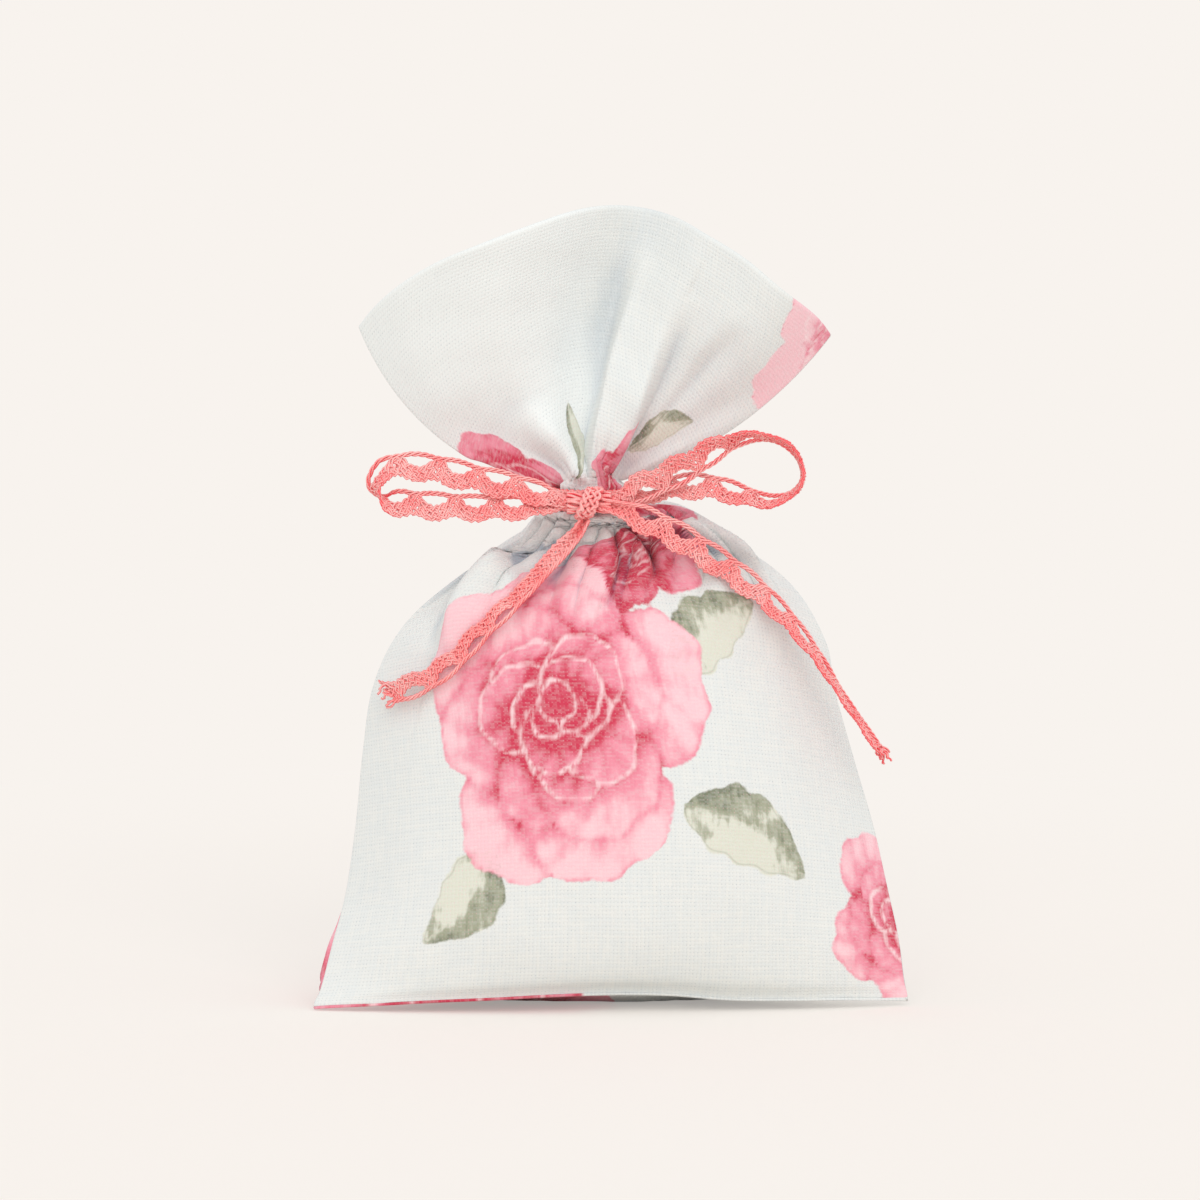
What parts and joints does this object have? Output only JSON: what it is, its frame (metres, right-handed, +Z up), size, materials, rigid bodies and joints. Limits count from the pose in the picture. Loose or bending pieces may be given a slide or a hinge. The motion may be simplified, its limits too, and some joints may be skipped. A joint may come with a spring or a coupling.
{
  "type": "fabric pouch",
  "caption": "Filled floral cotton pouch, gathered at the neck with a crocheted lace ribbon tied in a bow under a flared open top.",
  "frame": {"origin": "centre of the overall box at the flat underside that the pouch stands on", "axes": "+Z up from the base to the open top, -Y toward the front panel and the bow, +X to the right seen from the front"},
  "size_m": [0.1032, 0.0438, 0.1398],
  "materials": {
    "printed_cotton": "matte plain-weave cotton, pale blue with a pink and sage floral print",
    "cotton_reverse": "matte, the pale reverse of the printed cotton",
    "sewing_thread": "matte twisted thread",
    "filling": "loose dried flower heads, guessed, out of sight",
    "lace_ribbon": "matte coral cotton yarn"
  },
  "bodies": {
    "pouch": {"front_panel": "printed_cotton", "back_panel": "printed_cotton", "front_facing": "cotton_reverse", "back_facing": "cotton_reverse", "left_seam_thread": "sewing_thread", "right_seam_thread": "sewing_thread", "bottom_seam_thread": "sewing_thread", "filling": "filling", "neck_wrap": "lace_ribbon", "bow_knot": "lace_ribbon", "bow_hitch": "lace_ribbon"},
    "bow_left": {"left_loop": "lace_ribbon"},
    "bow_right": {"right_loop": "lace_ribbon"},
    "tail_left": {"left_tail": "lace_ribbon"},
    "tail_right": {"right_tail": "lace_ribbon"}
  },
  "joints": [
    {"name": "left_loop_swing", "type": "hinge", "parent": "pouch", "child": "bow_left", "pos_m": [-0.0088, -0.01165, 0.0888], "axis": [0, 0, 1], "range_deg": [-10, 25]},
    {"name": "right_loop_swing", "type": "hinge", "parent": "pouch", "child": "bow_right", "pos_m": [0.0008, -0.01165, 0.0888], "axis": [0, 0, -1], "range_deg": [-15, 8]},
    {"name": "left_tail_lift", "type": "hinge", "parent": "pouch", "child": "tail_left", "pos_m": [-0.0054, -0.0124, 0.0847], "axis": [-0.7507, 0, 0.6606], "range_deg": [0, 45]},
    {"name": "right_tail_lift", "type": "hinge", "parent": "pouch", "child": "tail_right", "pos_m": [0.0011, -0.0132, 0.0878], "axis": [-0.6222, 0, -0.7828], "range_deg": [0, 40]}
  ]
}
